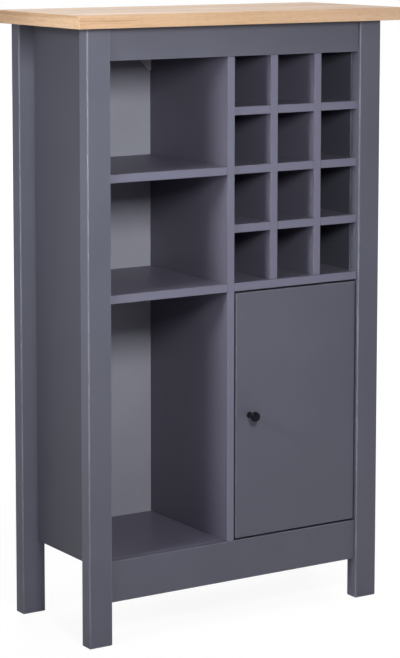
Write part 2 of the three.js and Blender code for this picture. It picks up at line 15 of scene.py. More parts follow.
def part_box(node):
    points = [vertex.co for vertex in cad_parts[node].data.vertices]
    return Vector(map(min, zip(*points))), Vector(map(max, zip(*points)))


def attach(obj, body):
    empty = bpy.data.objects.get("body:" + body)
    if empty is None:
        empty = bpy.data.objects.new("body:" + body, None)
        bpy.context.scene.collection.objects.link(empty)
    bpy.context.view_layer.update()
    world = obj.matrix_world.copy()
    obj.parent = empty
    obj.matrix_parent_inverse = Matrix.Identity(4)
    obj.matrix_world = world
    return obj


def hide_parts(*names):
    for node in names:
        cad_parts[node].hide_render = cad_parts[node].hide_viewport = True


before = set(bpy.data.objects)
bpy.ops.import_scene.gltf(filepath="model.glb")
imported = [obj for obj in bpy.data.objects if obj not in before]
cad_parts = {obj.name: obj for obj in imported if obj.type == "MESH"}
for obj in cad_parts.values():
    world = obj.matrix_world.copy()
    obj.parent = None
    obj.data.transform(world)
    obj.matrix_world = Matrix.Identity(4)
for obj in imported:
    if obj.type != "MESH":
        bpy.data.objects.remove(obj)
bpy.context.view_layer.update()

bl_info = {
    "name": "Wine Cabinet",
    "version": (1, 0, 0),
    "blender": (4, 5, 0),
    "location": "View3D > Sidebar > Cabinet",
    "description": "Builds a lacquered wine cabinet with an oak worktop, a bottle rack and one door",
    "category": "Object",
}

X_AXIS = Vector((1, 0, 0))
Y_AXIS = Vector((0, 1, 0))
Z_AXIS = Vector((0, 0, 1))
LEVELS = ("lower", "upper")

# Distances are in metres and angles in radians
MERGE = 1e-6
FLAT = math.radians(0.5)
CORNER = math.radians(25)
PRESSED_CORNER = math.radians(40)
SMOOTH = math.radians(40)
CUP_BORE_RADIUS = 0.0175
SCREW_RISE = {"machine": 0.0022, "wood": 0.0019}
SCREW_SHANK = {"machine": 0.002, "wood": 0.0017}
BACK_SCREW_LENGTH = 0.012
BACK_SCREW_INSET = 0.0042

# Name, place, target, width, height, watts and beam angle in degrees
LAMPS = (
    ("key", (-0.6, -1.7, 1.48), (-0.15, -0.1, 0.8), 0.2, 0.4, 24, 180),
    ("left strip", (-1.15, -0.4, 0.85), (-0.3, -0.1, 0.8), 0.2, 1.1, 2.4, 180),
    ("left beam", (-2.4, -0.55, 1.62), (0, -0.3, 0.75), 0.5, 0.5, 3, 45),
    ("right lamp", (3.2, -0.6, 1.6), (0, 0, 0.6), 1.2, 1.2, 20, 180),
    ("rear lamp", (0.9, 2.0, 3.2), (0.1, 0, 0.8), 1.5, 1.5, 58, 180),
)

# Light all round, what shines in the lacquer from the front, and the floor with its half width
FILL_COLOUR = (1, 0.75, 1, 1)
FILL_STRENGTH = 0.12
FRONT_REFLECTION = 0.2
FLOOR_REACH = 12
FLOOR_GREY = (0.6, 0.6, 0.6, 1)
FLOOR_GLOW = 1.15
FLOOR_MIRRORED = 0.3
WHITE = (1, 1, 1, 1)


# Sizes and colours

class CabinetSizes(PropertyGroup):
    board_ease: FloatProperty(
        name="Board edge", description="Radius of the eased edges of the boards",
        default=0.0008, min=0, subtype="DISTANCE", unit="LENGTH",
    )
    rail_ease: FloatProperty(
        name="Rail edge", description="Radius of the eased edges of the rails and of the door",
        default=0.0012, min=0, subtype="DISTANCE", unit="LENGTH",
    )
    leg_ease: FloatProperty(
        name="Leg edge", description="Radius of the rounded edges of the legs",
        default=0.0025, min=0, subtype="DISTANCE", unit="LENGTH",
    )
    foot_ease: FloatProperty(
        name="Foot edge", description="Radius of the lower edges of the legs",
        default=0.0025, min=0, subtype="DISTANCE", unit="LENGTH",
    )
    worktop_ease: FloatProperty(
        name="Worktop edge", description="Radius of the outer edges of the worktop",
        default=0.0015, min=0, subtype="DISTANCE", unit="LENGTH",
    )
    band_thickness: FloatProperty(
        name="Edge band", description="Thickness of the oak bands round the worktop",
        default=0.002, min=0, subtype="DISTANCE", unit="LENGTH",
    )
    metal_ease: FloatProperty(
        name="Metal edge", description="Radius of the edges of the hinges and of the bracket",
        default=0.0003, min=0, subtype="DISTANCE", unit="LENGTH",
    )
    lap_gap: FloatProperty(
        name="Lap gap", description="Gap between two boards that cross in the bottle rack",
        default=0.0003, min=0, subtype="DISTANCE", unit="LENGTH",
    )
    back_screw_radius: FloatProperty(
        name="Back screw", description="Radius of the heads of the screws in the back panel",
        default=0.0028, min=0, subtype="DISTANCE", unit="LENGTH",
    )


class CabinetFinishes(PropertyGroup):
    lacquer: FloatVectorProperty(
        name="Lacquer", description="Colour of the satin lacquer on the boards",
        default=(0.105, 0.1105, 0.1435), min=0, max=1, subtype="COLOR",
    )
    # The inner boards' lacquer: lighter as painted light in the bays, and tinted plum as painted shade.
    board: FloatVectorProperty(
        name="Inner boards", description="Colour of the coat on the divider, the shelves and the rack",
        default=(0.12, 0.115, 0.156), min=0, max=1, subtype="COLOR",
    )
    # Paler lacquer on the eased edges: a painted highlight, mixed with patchy rubbed wear.
    rubbed_and_highlit: FloatVectorProperty(
        name="Rubbed lacquer", description="Colour of the lacquer where an edge is rubbed",
        default=(0.165, 0.17, 0.215), min=0, max=1, subtype="COLOR",
    )
    edge_band: FloatVectorProperty(
        name="Edge band", description="Colour of the bands on the front edges of the boards",
        default=(0.168, 0.171, 0.235), min=0, max=1, subtype="COLOR",
    )
    back: FloatVectorProperty(
        name="Back panel", description="Colour of the thin back panel",
        default=(0.32, 0.33, 0.385), min=0, max=1, subtype="COLOR",
    )
    oak_light: FloatVectorProperty(
        name="Light oak", description="Lightest colour of the oak's early wood",
        default=(0.75, 0.53, 0.345), min=0, max=1, subtype="COLOR",
    )
    oak_dark: FloatVectorProperty(
        name="Dark oak", description="Colour of the oak's late wood",
        default=(0.6, 0.39, 0.225), min=0, max=1, subtype="COLOR",
    )
    oak_streak: FloatVectorProperty(
        name="Oak streak", description="Colour of the brown streaks and pores of the oak",
        default=(0.33, 0.19, 0.09), min=0, max=1, subtype="COLOR",
    )
    knob: FloatVectorProperty(
        name="Knob", description="Colour of the knob",
        default=(0.003, 0.002, 0.005), min=0, max=1, subtype="COLOR",
    )
    nickel: FloatVectorProperty(
        name="Nickel", description="Colour of the nickel-plated hinges and screws",
        default=(0.6, 0.58, 0.54), min=0, max=1, subtype="COLOR",
    )
    # Near-white so that the mostly matt zinc shows bright: a painted reflection.
    zinc: FloatVectorProperty(
        name="Zinc", description="Colour of the zinc-plated bracket and screws",
        default=(0.9, 0.88, 0.9), min=0, max=1, subtype="COLOR",
    )
    beech: FloatVectorProperty(
        name="Beech", description="Colour of the dowels",
        default=(0.58, 0.39, 0.19), min=0, max=1, subtype="COLOR",
    )


# Shader maths

class Signal:
    """Output of a shader node that Python's operators calculate with."""

    def __init__(self, nodes, socket):
        self.nodes = nodes
        self.socket = socket

    def maths(self, operation, *values):
        return self.nodes.add("ShaderNodeMath", {"operation": operation}, dict(enumerate(values)))

    def __add__(self, other):
        return self.maths("ADD", self, other)

    def __sub__(self, other):
        return self.maths("SUBTRACT", self, other)

    def __mul__(self, other):
        return self.maths("MULTIPLY", self, other)

    def __radd__(self, other):
        return self.maths("ADD", other, self)

    def __rsub__(self, other):
        return self.maths("SUBTRACT", other, self)

    def __rmul__(self, other):
        return self.maths("MULTIPLY", other, self)


class Nodes:
    """Node tree of a material or of the world."""

    def __init__(self, owner):
        owner.use_nodes = True
        self.tree = owner.node_tree
        self.tree.nodes.clear()

    def add(self, kind, settings=None, values=None, output=0):
        """Adds a node with its settings and the values or links of its sockets, and gives one output."""
        node = self.tree.nodes.new(kind)
        for key, value in (settings or {}).items():
            setattr(node, key, value)
        for key, value in (values or {}).items():
            if isinstance(value, Signal):
                self.tree.links.new(value.socket, node.inputs[key])
            else:
                node.inputs[key].default_value = value
        return Signal(self, node.outputs[output]) if len(node.outputs) else None

    def place(self, centre=(0, 0, 0), turn=(0, 0, 0), scale=(1, 1, 1)):
        """Object coordinates in metres, moved, turned and stretched."""
        spot = self.add("ShaderNodeTexCoord", output="Object")
        values = {"Vector": spot, "Location": centre, "Rotation": turn, "Scale": scale}
        return self.add("ShaderNodeMapping", {"vector_type": "POINT"}, values)

    def noise(self, spot, scale, detail=2, roughness=0.5, distortion=0):
        values = {
            "Vector": spot, "Scale": scale, "Detail": detail,
            "Roughness": roughness, "Distortion": distortion,
        }
        return self.add("ShaderNodeTexNoise", None, values)

    def between(self, value, low, high):
        """0 below low, 1 above high and a smooth rise between them."""
        values = {"Value": value, "From Min": low, "From Max": high}
        return self.add("ShaderNodeMapRange", {"interpolation_type": "SMOOTHSTEP"}, values)

    def mix(self, share, first, second):
        """Colour between two colours."""
        return self.add("ShaderNodeMix", {"data_type": "RGBA"}, {0: share, 6: first, 7: second}, output=2)

    def layer(self, name):
        """What a mesh layer holds, such as 1 on the faces of a piece's eased edges."""
        settings = {"attribute_type": "GEOMETRY", "attribute_name": name}
        return self.add("ShaderNodeAttribute", settings, output="Fac")

    def bump(self, height, distance):
        """Relief that is as deep as a distance in metres where its height is 1."""
        return self.add("ShaderNodeBump", None, {"Height": height, "Distance": distance})

    def surface(self, **values):
        """Ends the tree in one Principled shader, whose sockets are named with underscores for spaces."""
        named = {key.replace("_", " "): value for key, value in values.items()}
        shader = self.add("ShaderNodeBsdfPrincipled", None, named)
        self.add("ShaderNodeOutputMaterial", None, {"Surface": shader})


def opaque(colour, factor=1.0):
    """Four channels of a colour property, made lighter or darker by a factor."""
    return (*(min(channel * factor, 1) for channel in colour), 1)


# Finishes

def lacquer_finish(nodes, colours, tone=1.0, coat="lacquer"):
    """Satin lacquer: faint clouds, a fine sprayed texture, banded front edges, and smoother eased corners
    painted paler, partly as a painted highlight and partly as patchy rubbed wear.
    """
    colour = getattr(colours, coat)
    spot = nodes.place()
    clouds = nodes.noise(spot, 6, detail=3)
    spray = nodes.noise(spot, 520, detail=2)
    pebble = nodes.noise(spot, 130, detail=1)
    handled = nodes.noise(spot, 28, detail=4, roughness=0.6)
    # Eased edges are painted paler: partly a painted highlight, partly patchy rubbed wear.
    worn_and_highlit = nodes.layer("rub") * (0.55 + 0.45 * nodes.between(handled, 0.42, 0.62))
    face = nodes.mix(
        nodes.between(clouds, 0.3, 0.7),
        opaque(colour, 0.96 * tone), opaque(colour, 1.05 * tone),
    )
    base = nodes.mix(nodes.layer("band"), face, opaque(colours.edge_band))
    speck = nodes.mix(nodes.between(spray, 0.55, 0.8) * 0.25, base, opaque(colour, 1.25 * tone))
    nodes.surface(
        Base_Color=nodes.mix(worn_and_highlit, speck, opaque(colours.rubbed_and_highlit)),
        Roughness=0.4 + clouds * 0.08 + spray * 0.06 - worn_and_highlit * 0.08,
        Specular_IOR_Level=0.5,
        Normal=nodes.bump(pebble * 0.7 + spray * 0.3, 0.00004),
    )


def panel_painted_shade_finish(nodes, colours):
    """The side panels' lacquer, darker on their broad faces as painted shade."""
    lacquer_finish(nodes, colours, tone=0.7)


def board_painted_light_and_shade_finish(nodes, colours):
    """The coat of the boards inside, lighter than the frame's as painted light in the bays, and warmer with a
    plum tint as painted shade.
    """
    lacquer_finish(nodes, colours, coat="board")


def back_finish(nodes, colours):
    """Thin fibreboard with a matt coat that shows a faint cross-hatch of fibres."""
    spot = nodes.place()
    clouds = nodes.noise(spot, 5, detail=3)
    long_fibres = nodes.noise(nodes.place(scale=(260, 1, 30)), 1, detail=3)
    cross_fibres = nodes.noise(nodes.place(scale=(30, 1, 260)), 1, detail=3)
    fibres = long_fibres * 0.5 + cross_fibres * 0.5
    base = nodes.mix(nodes.between(clouds, 0.3, 0.7), opaque(colours.back, 0.95), opaque(colours.back, 1.06))
    nodes.surface(
        Base_Color=nodes.mix(nodes.between(fibres, 0.5, 0.7) * 0.12, base, opaque(colours.back, 1.3)),
        Roughness=0.52 + fibres * 0.12,
        Specular_IOR_Level=0.4,
        Normal=nodes.bump(fibres, 0.00003),
    )


def oak_finish(nodes, colours, turn=0.0, centre=(0, 0, 0)):
    """Matt oak whose grain runs along X, or along Y when it is turned by a right angle."""
    spin = (0, 0, turn)

    def grain(along, across, detail=3, distortion=0.0):
        spot = nodes.place(centre, spin)
        stretched = nodes.add(
            "ShaderNodeMapping", {"vector_type": "POINT"},
            {"Vector": spot, "Scale": (along, across, across)},
        )
        return nodes.noise(stretched, 1, detail=detail, distortion=distortion)

    bands = grain(1.1, 17, detail=3, distortion=0.4)
    rings = grain(2.2, 62, detail=4, distortion=0.6)
    fibres = grain(14, 620, detail=3)
    pores = nodes.between(grain(48, 1300, detail=1), 0.6, 0.72)
    patches = nodes.between(grain(3.2, 9, detail=2), 0.46, 0.62)
    flame = nodes.between(grain(5, 75, detail=5, distortion=1.6), 0.5, 0.64) * patches
    lines = nodes.between(grain(3.4, 260, detail=4, distortion=0.8), 0.56, 0.68) * patches
    wood = nodes.mix(
        nodes.between(bands * 0.6 + rings * 0.4, 0.38, 0.62),
        opaque(colours.oak_light), opaque(colours.oak_dark),
    )
    toned = nodes.mix(nodes.between(fibres, 0.35, 0.7) * 0.3, wood, opaque(colours.oak_dark, 0.9))
    flamed = nodes.mix(flame * 0.55, toned, opaque(colours.oak_streak, 1.5))
    streaked = nodes.mix(lines * 0.6, flamed, opaque(colours.oak_streak))
    pored = nodes.mix(pores * 0.45, streaked, opaque(colours.oak_streak, 0.9))
    edge = nodes.layer("rub")
    nodes.surface(
        Base_Color=nodes.mix(edge * 0.25, pored, opaque(colours.oak_light, 1.1)),
        Roughness=0.46 + fibres * 0.12 - flame * 0.04,
        Specular_IOR_Level=0.25,
        Normal=nodes.bump(fibres * 0.6 - pores * 0.5 + rings * 0.3, 0.00008),
    )


def oak_end_finish(nodes, colours):
    """The oak of the bands on the worktop's ends, its grain along Y."""
    oak_finish(nodes, colours, turn=math.pi / 2, centre=(0.31, 0.17, 0.05))


def knob_finish(nodes, colours):
    """Semi-gloss black with a fine cast texture."""
    spot = nodes.place()
    grit = nodes.noise(spot, 1400, detail=2)
    smear = nodes.noise(spot, 90, detail=3)
    nodes.surface(
        Base_Color=nodes.mix(nodes.between(smear, 0.4, 0.7), opaque(colours.knob), opaque(colours.knob, 1.6)),
        Roughness=0.12 + smear * 0.1,
        Specular_IOR_Level=0.25,
        Normal=nodes.bump(grit, 0.00002),
    )


def plated_finish(nodes, colour, haze, metal=1.0):
    """Plated steel with rolling lines, stains and spangle, duller where it counts less as metal."""
    spot = nodes.place()
    stains = nodes.noise(spot, 60, detail=4, roughness=0.6)
    lines = nodes.noise(nodes.place(scale=(300, 300, 4200)), 1, detail=2)
    values = {"Vector": spot, "Scale": 260}
    flakes = nodes.add("ShaderNodeTexVoronoi", {"feature": "F1"}, values, output="Color")
    spangle = nodes.add("ShaderNodeSeparateColor", None, {"Color": flakes})
    toned = nodes.mix(nodes.between(stains, 0.35, 0.7), opaque(colour, 0.85), opaque(colour, 1.1))
    nodes.surface(
        Base_Color=nodes.mix(spangle * haze, toned, opaque(colour, 1.3)),
        Metallic=metal,
        Roughness=0.26 + stains * 0.16 + spangle * (haze * 0.3) + lines * 0.06,
        Normal=nodes.bump(lines * 0.5 + stains * 0.5, 0.00002),
    )


def nickel_finish(nodes, colours):
    plated_finish(nodes, colours.nickel, 0.1)


# Zinc made mostly matt and near white, so the bracket shows bright in the shade: a painted reflection.
def zinc_painted_reflection_finish(nodes, colours):
    plated_finish(nodes, colours.zinc, 0.35, metal=0.25)


def beech_finish(nodes, colours):
    """Plain turned beech with flecks along the dowel."""
    fibres = nodes.noise(nodes.place(scale=(40, 900, 900)), 1, detail=3)
    dark = nodes.between(fibres, 0.4, 0.7)
    nodes.surface(
        Base_Color=nodes.mix(dark, opaque(colours.beech), opaque(colours.beech, 0.7)),
        Roughness=0.7 + fibres * 0.1,
        Normal=nodes.bump(fibres, 0.00005),
    )


FINISHES = {
    "anthracite_lacquer": lacquer_finish,
    "panel_lacquer": panel_painted_shade_finish,
    "board_lacquer": board_painted_light_and_shade_finish,
    "back_board": back_finish,
    "worktop_oak": oak_finish,
    "worktop_oak_ends": oak_end_finish,
    "black_knob": knob_finish,
    "nickel_plated": nickel_finish,
    "zinc_plated": zinc_painted_reflection_finish,
    "beech": beech_finish,
}


def finish(name):
    """Material of a finish, made the first time that it is asked for."""
    title = f"{name}_finish"
    material = bpy.data.materials.get(title)
    if material is None:
        material = bpy.data.materials.new(title)
        FINISHES[name](Nodes(material), bpy.context.scene.cabinet_finishes)
    return material


# Shapes

def new_mesh():
    """Empty mesh with the layers that mark its eased edges and its banded faces."""
    mesh = bmesh.new()
    mesh.loops.layers.float.new("rub")
    mesh.loops.layers.float.new("band")
    return mesh


def boxed(low, high):
    """Closed box between two corners."""
    mesh = new_mesh()
    bmesh.ops.create_cube(mesh, size=1)
    bmesh.ops.scale(mesh, vec=high - low, verts=mesh.verts)
    bmesh.ops.translate(mesh, vec=(low + high) / 2, verts=mesh.verts)
    return mesh


def prism(ring, depth):
    """Solid between a flat ring of corners and the same ring moved along depth."""
    mesh = new_mesh()
    face = mesh.faces.new([mesh.verts.new(corner) for corner in ring])
    grown = bmesh.ops.extrude_face_region(mesh, geom=[face])["geom"]
    moved = [item for item in grown if isinstance(item, bmesh.types.BMVert)]
    bmesh.ops.translate(mesh, vec=depth, verts=moved)
    bmesh.ops.recalc_face_normals(mesh, faces=mesh.faces)
    return mesh


def turned(profile, steps):
    """Solid turned about Z from a profile of (radius, height, rounding) that starts and ends on the axis."""
    mesh = new_mesh()
    corners = [mesh.verts.new((radius, 0, height)) for radius, height, _ in profile]
    for pair in zip(corners, corners[1:]):
        mesh.edges.new(pair)
    for corner, (_, _, rounding) in zip(corners, profile):
        if rounding:
            bmesh.ops.bevel(
                mesh, geom=[corner], offset=rounding, offset_type="OFFSET", affect="VERTICES",
                segments=5, profile=0.5, material=-1,
            )
    bmesh.ops.spin(
        mesh, geom=mesh.verts[:] + mesh.edges[:], cent=(0, 0, 0), axis=Z_AXIS,
        angle=2 * math.pi, steps=steps, use_merge=True,
    )
    bmesh.ops.remove_doubles(mesh, verts=mesh.verts, dist=MERGE)
    bmesh.ops.recalc_face_normals(mesh, faces=mesh.faces)
    return mesh


def solid_copy(node):
    """Mesh of a solid with its triangles joined and its flat faces whole."""
    mesh = bmesh.new()
    mesh.from_mesh(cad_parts[node].data)
    mesh.loops.layers.float.new("rub")
    bmesh.ops.remove_doubles(mesh, verts=mesh.verts, dist=MERGE * 5)
    bmesh.ops.dissolve_limit(mesh, angle_limit=FLAT, verts=mesh.verts, edges=mesh.edges)
    return mesh


def corners_of(mesh, limit=CORNER):
    """Edges where two faces meet at more than an angle."""
    return [edge for edge in mesh.edges if edge.is_manifold and edge.calc_face_angle(0) > limit]


def ease(mesh, edges, radius, segments=3):
    """Rounds edges and marks the faces that do it."""
    rounded = bmesh.ops.bevel(
        mesh, geom=edges, offset=radius, offset_type="OFFSET", affect="EDGES",
        segments=segments, profile=0.5, material=-1, clamp_overlap=True,
    )
    layer = mesh.loops.layers.float["rub"]
    for face in rounded["faces"]:
        for loop in face.loops:
            loop[layer] = 1.0


def banded(mesh, outward=-Y_AXIS):
    """Marks the faces of a mesh that look outward, so that they show an edge band."""
    mesh.normal_update()
    layer = mesh.loops.layers.float["band"]
    for face in mesh.faces:
        if face.normal.dot(outward) > 0.9:
            for loop in face.loops:
                loop[layer] = 1.0
    return mesh


def along(edges, axis):
    """Edges that run along an axis."""
    def way(edge):
        return (edge.verts[0].co - edge.verts[1].co).normalized()

    return [edge for edge in edges if way(edge).cross(axis).length < 0.01]


def face_at(mesh, spot, outward):
    """Flat face that looks outward and holds a spot."""
    for face in mesh.faces:
        level = abs((face.verts[0].co - spot).dot(outward)) < MERGE * 10
        if level and face.normal.dot(outward) > 0.99 and bmesh.geometry.intersect_face_point(face, spot):
            return face
    raise RuntimeError(f"no flat face holds {tuple(spot)}")


def pocket(mesh, spot, outward, radius, depth, floor=1.0, sides=32):
    """Sinks a round pocket into a flat face; its floor is as wide as the mouth times floor."""
    first = outward.orthogonal().normalized()
    second = outward.cross(first)
    half_patch = radius * 1.25
    border = radius * 0.1
    for tangent in (first, second):
        for side in (-1, 1):
            face = face_at(mesh, spot, outward)
            bmesh.ops.bisect_plane(
                mesh, geom=[face, *face.edges, *face.verts],
                plane_co=spot + tangent * side * half_patch, plane_no=tangent,
            )
    face = face_at(mesh, spot, outward)
    bmesh.ops.bisect_edges(mesh, edges=face.edges[:], cuts=sides // 4 - 1)
    bmesh.ops.inset_region(mesh, faces=[face], thickness=border, use_even_offset=True)
    for corner in face.verts:
        reach = corner.co - spot
        corner.co = spot + reach.normalized() * radius
    sunk = bmesh.ops.extrude_face_region(mesh, geom=[face])["geom"]
    bmesh.ops.delete(mesh, geom=[face], context="FACES_ONLY")
    rim = [item for item in sunk if isinstance(item, bmesh.types.BMVert)]
    bmesh.ops.scale(mesh, vec=(floor, floor, floor), space=Matrix.Translation(-spot), verts=rim)
    bmesh.ops.translate(mesh, vec=-outward * depth, verts=rim)


def screw_mesh(radius, rise, shank, length, recess=0.6):
    """Screw along Z: a domed head with a cross recess above z = 0, and its shank below."""
    arm = radius * recess
    slot = radius * 0.13
    edge_height = rise * 0.35
    recess_depth = rise * 0.8
    recess_taper = 0.6
    thread = length * 0.8
    tip = 0.05
    stops = (-radius, -arm, -slot, slot, arm, radius)
    mesh = new_mesh()
    bmesh.ops.create_grid(mesh, x_segments=5, y_segments=5, size=1)
    outline = [corner for corner in mesh.verts if max(abs(corner.co.x), abs(corner.co.y)) > 0.99]
    steps = (len(stops) - 1) / 2
    for corner in mesh.verts:
        corner.co.x = stops[round((corner.co.x + 1) * steps)]
        corner.co.y = stops[round((corner.co.y + 1) * steps)]
    for corner in outline:
        corner.co = corner.co.normalized() * radius
    for corner in mesh.verts:
        share = min(corner.co.xy.length / radius, 1)
        corner.co.z = edge_height + (rise - edge_height) * (1 - share * share)
    cross = [
        face for face in mesh.faces
        if min(abs(face.calc_center_median().x), abs(face.calc_center_median().y)) < slot
        and max(abs(face.calc_center_median().x), abs(face.calc_center_median().y)) < arm
    ]
    sunk = bmesh.ops.extrude_face_region(mesh, geom=cross)["geom"]
    bmesh.ops.delete(mesh, geom=cross, context="FACES_ONLY")
    floor = [item for item in sunk if isinstance(item, bmesh.types.BMVert)]
    bmesh.ops.scale(mesh, vec=(recess_taper, recess_taper, 1), verts=floor)
    bmesh.ops.translate(mesh, vec=(0, 0, -recess_depth), verts=floor)
    rim = [edge for edge in mesh.edges if edge.is_boundary]
    for scale, height in ((1, 0), (shank / radius, 0), (shank / radius, -thread), (tip, -length)):
        grown = bmesh.ops.extrude_edge_only(mesh, edges=rim)["geom"]
        for corner in (item for item in grown if isinstance(item, bmesh.types.BMVert)):
            corner.co = (*(corner.co.xy.normalized() * radius * scale), height)
        rim = [item for item in grown if isinstance(item, bmesh.types.BMEdge)]
    bmesh.ops.contextual_create(mesh, geom=rim)
    bmesh.ops.recalc_face_normals(mesh, faces=mesh.faces)
    return mesh


def aimed(mesh, place, direction):
    """Turns a mesh's Z axis to a direction and moves its origin to a place."""
    turn = Z_AXIS.rotation_difference(Vector(direction)).to_matrix().to_4x4()
    bmesh.ops.transform(mesh, matrix=Matrix.Translation(place) @ turn, verts=mesh.verts)
    return mesh


def put(mesh, name, material, nodes=(), body="cabinet"):
    """Makes a mesh a piece of the cabinet, on its body and in place of solids."""
    bmesh.ops.recalc_face_normals(mesh, faces=mesh.faces)
    data = bpy.data.meshes.new(name)
    mesh.to_mesh(data)
    mesh.free()
    for attribute in [each for each in data.attributes if each.name == "custom_normal"]:
        data.attributes.remove(attribute)
    data.shade_smooth()
    data.set_sharp_from_angle(angle=SMOOTH)
    data.materials.clear()
    data.materials.append(finish(material))
    piece = bpy.data.objects.new(name, data)
    bpy.context.scene.collection.objects.link(piece)
    even = piece.modifiers.new("Even normals", "WEIGHTED_NORMAL")
    even.keep_sharp = True
    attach(piece, body)
    if nodes:
        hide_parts(*nodes)
    return piece


def eased_board(node, radius, material="anthracite_lacquer", band=False):
    """Board with eased edges, and with a banded front edge where it has one, in place of a node."""
    mesh = boxed(*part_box(node))
    if band:
        banded(mesh)
    ease(mesh, mesh.edges[:], radius)
    return put(mesh, f"{node}_eased", material, [node])


def centre_of(node):
    low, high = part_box(node)
    return (low + high) / 2


# Operators

class CABINET_OT_legs(Operator):
    """Makes the four legs, with rounded edges and with rebates for the back panel in the rear ones"""

    bl_idname = "cabinet.legs"
    bl_label = "Legs"

    def execute(self, context):
        sizes = context.scene.cabinet_sizes
        for side in ("left", "right"):
            for row in ("front", "rear"):
                node = f"leg_{row}_{side}"
                low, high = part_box(node)
                mesh = boxed(low, high) if row == "front" else self.rebated(low, high, side)
                upright = along(mesh.edges, Z_AXIS)
                outer = [edge for edge in upright if self.at_corner(edge, low, high)]
                ease(mesh, outer, sizes.leg_ease, segments=5)
                level = [edge for edge in corners_of(mesh) if self.level(edge)]
                foot = [edge for edge in level if edge.verts[0].co.z < (low.z + high.z) / 2]
                ease(mesh, [edge for edge in level if edge not in foot], sizes.board_ease, segments=2)
                ease(mesh, foot, sizes.foot_ease, segments=4)
                put(mesh, f"{node}_post", "anthracite_lacquer", [node])
        return {"FINISHED"}

    def level(self, edge):
        """Whether an edge lies flat."""
        return abs(edge.verts[0].co.z - edge.verts[1].co.z) < MERGE

    def at_corner(self, edge, low, high):
        """Whether an upright edge stands in a corner of the leg's box."""
        spot = edge.verts[0].co
        at_x = min(abs(spot.x - low.x), abs(spot.x - high.x)) < MERGE
        at_y = min(abs(spot.y - low.y), abs(spot.y - high.y)) < MERGE
        return at_x and at_y

    def rebated(self, low, high, side):
        """Leg whose inner rear edge is rebated round the back panel."""
        panel_low, panel_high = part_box("back_panel")
        gap = bpy.context.scene.cabinet_sizes.lap_gap
        depth = panel_low.y - gap
        if side == "left":
            inner, outer, rebate = high.x, low.x, panel_low.x - gap
        else:
            inner, outer, rebate = low.x, high.x, panel_high.x + gap
        ring = [
            (outer, low.y), (inner, low.y), (inner, depth),
            (rebate, depth), (rebate, high.y), (outer, high.y),
        ]
        return prism([(x, y, low.z) for x, y in ring], Vector((0, 0, high.z - low.z)))


class CABINET_OT_carcass(Operator):
    """Makes the rails, side panels, divider, shelves, bottom board and ceiling board"""

    bl_idname = "cabinet.carcass"
    bl_label = "Rails and boards"

    def execute(self, context):
        sizes = context.scene.cabinet_sizes
        for node in ("top_rail_front", "top_rail_rear", "bottom_rail_front"):
            eased_board(node, sizes.rail_ease)
        # The side panels take the lacquer darkened as painted shade.
        for node in ("side_panel_left", "side_panel_right"):
            eased_board(node, sizes.board_ease, "panel_lacquer")
        for node in ("bottom_board", "ceiling_board"):
            eased_board(node, sizes.board_ease, "board_lacquer")
        for node in ("centre_divider", "shelf_left_upper", "shelf_left_lower", "fixed_shelf_right"):
            eased_board(node, sizes.board_ease, "board_lacquer", band=True)
        return {"FINISHED"}


class CABINET_OT_rack(Operator):
    """Makes the bottle rack, whose uprights and shelves cross in half-lap slots"""

    bl_idname = "cabinet.rack"
    bl_label = "Bottle rack"

    def execute(self, context):
        sizes = context.scene.cabinet_sizes
        uprights = ["rack_upright_1", "rack_upright_2"]
        shelves = ["rack_shelf_1", "rack_shelf_2", "rack_shelf_3"]
        for node in uprights:
            low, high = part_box(node)
            lap = (low.y + high.y) / 2 - sizes.lap_gap / 2
            ring = [(low.y, low.z), (high.y, low.z)]
            for shelf in shelves:
                start, end = self.slot(shelf, "z")
                ring += [(high.y, start), (lap, start), (lap, end), (high.y, end)]
            ring += [(high.y, high.z), (low.y, high.z)]
            mesh = banded(prism([(low.x, y, z) for y, z in ring], Vector((high.x - low.x, 0, 0))))
            ease(mesh, corners_of(mesh), sizes.board_ease * 0.8)
            put(mesh, f"{node}_lapped", "board_lacquer", [node])
        for node in shelves:
            low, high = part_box(node)
            lap = (low.y + high.y) / 2 + sizes.lap_gap / 2
            ring = [(high.x, high.y), (low.x, high.y), (low.x, low.y)]
            for upright in uprights:
                start, end = self.slot(upright, "x")
                ring += [(start, low.y), (start, lap), (end, lap), (end, low.y)]
            ring.append((high.x, low.y))
            mesh = banded(prism([(x, y, low.z) for x, y in ring], Vector((0, 0, high.z - low.z))))
            ease(mesh, corners_of(mesh), sizes.board_ease * 0.8)
            put(mesh, f"{node}_lapped", "board_lacquer", [node])
        return {"FINISHED"}

    def slot(self, node, axis):
        """Start and end of the slot that a crossing board needs."""
        low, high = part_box(node)
        gap = bpy.context.scene.cabinet_sizes.lap_gap
        return getattr(low, axis) - gap, getattr(high, axis) + gap


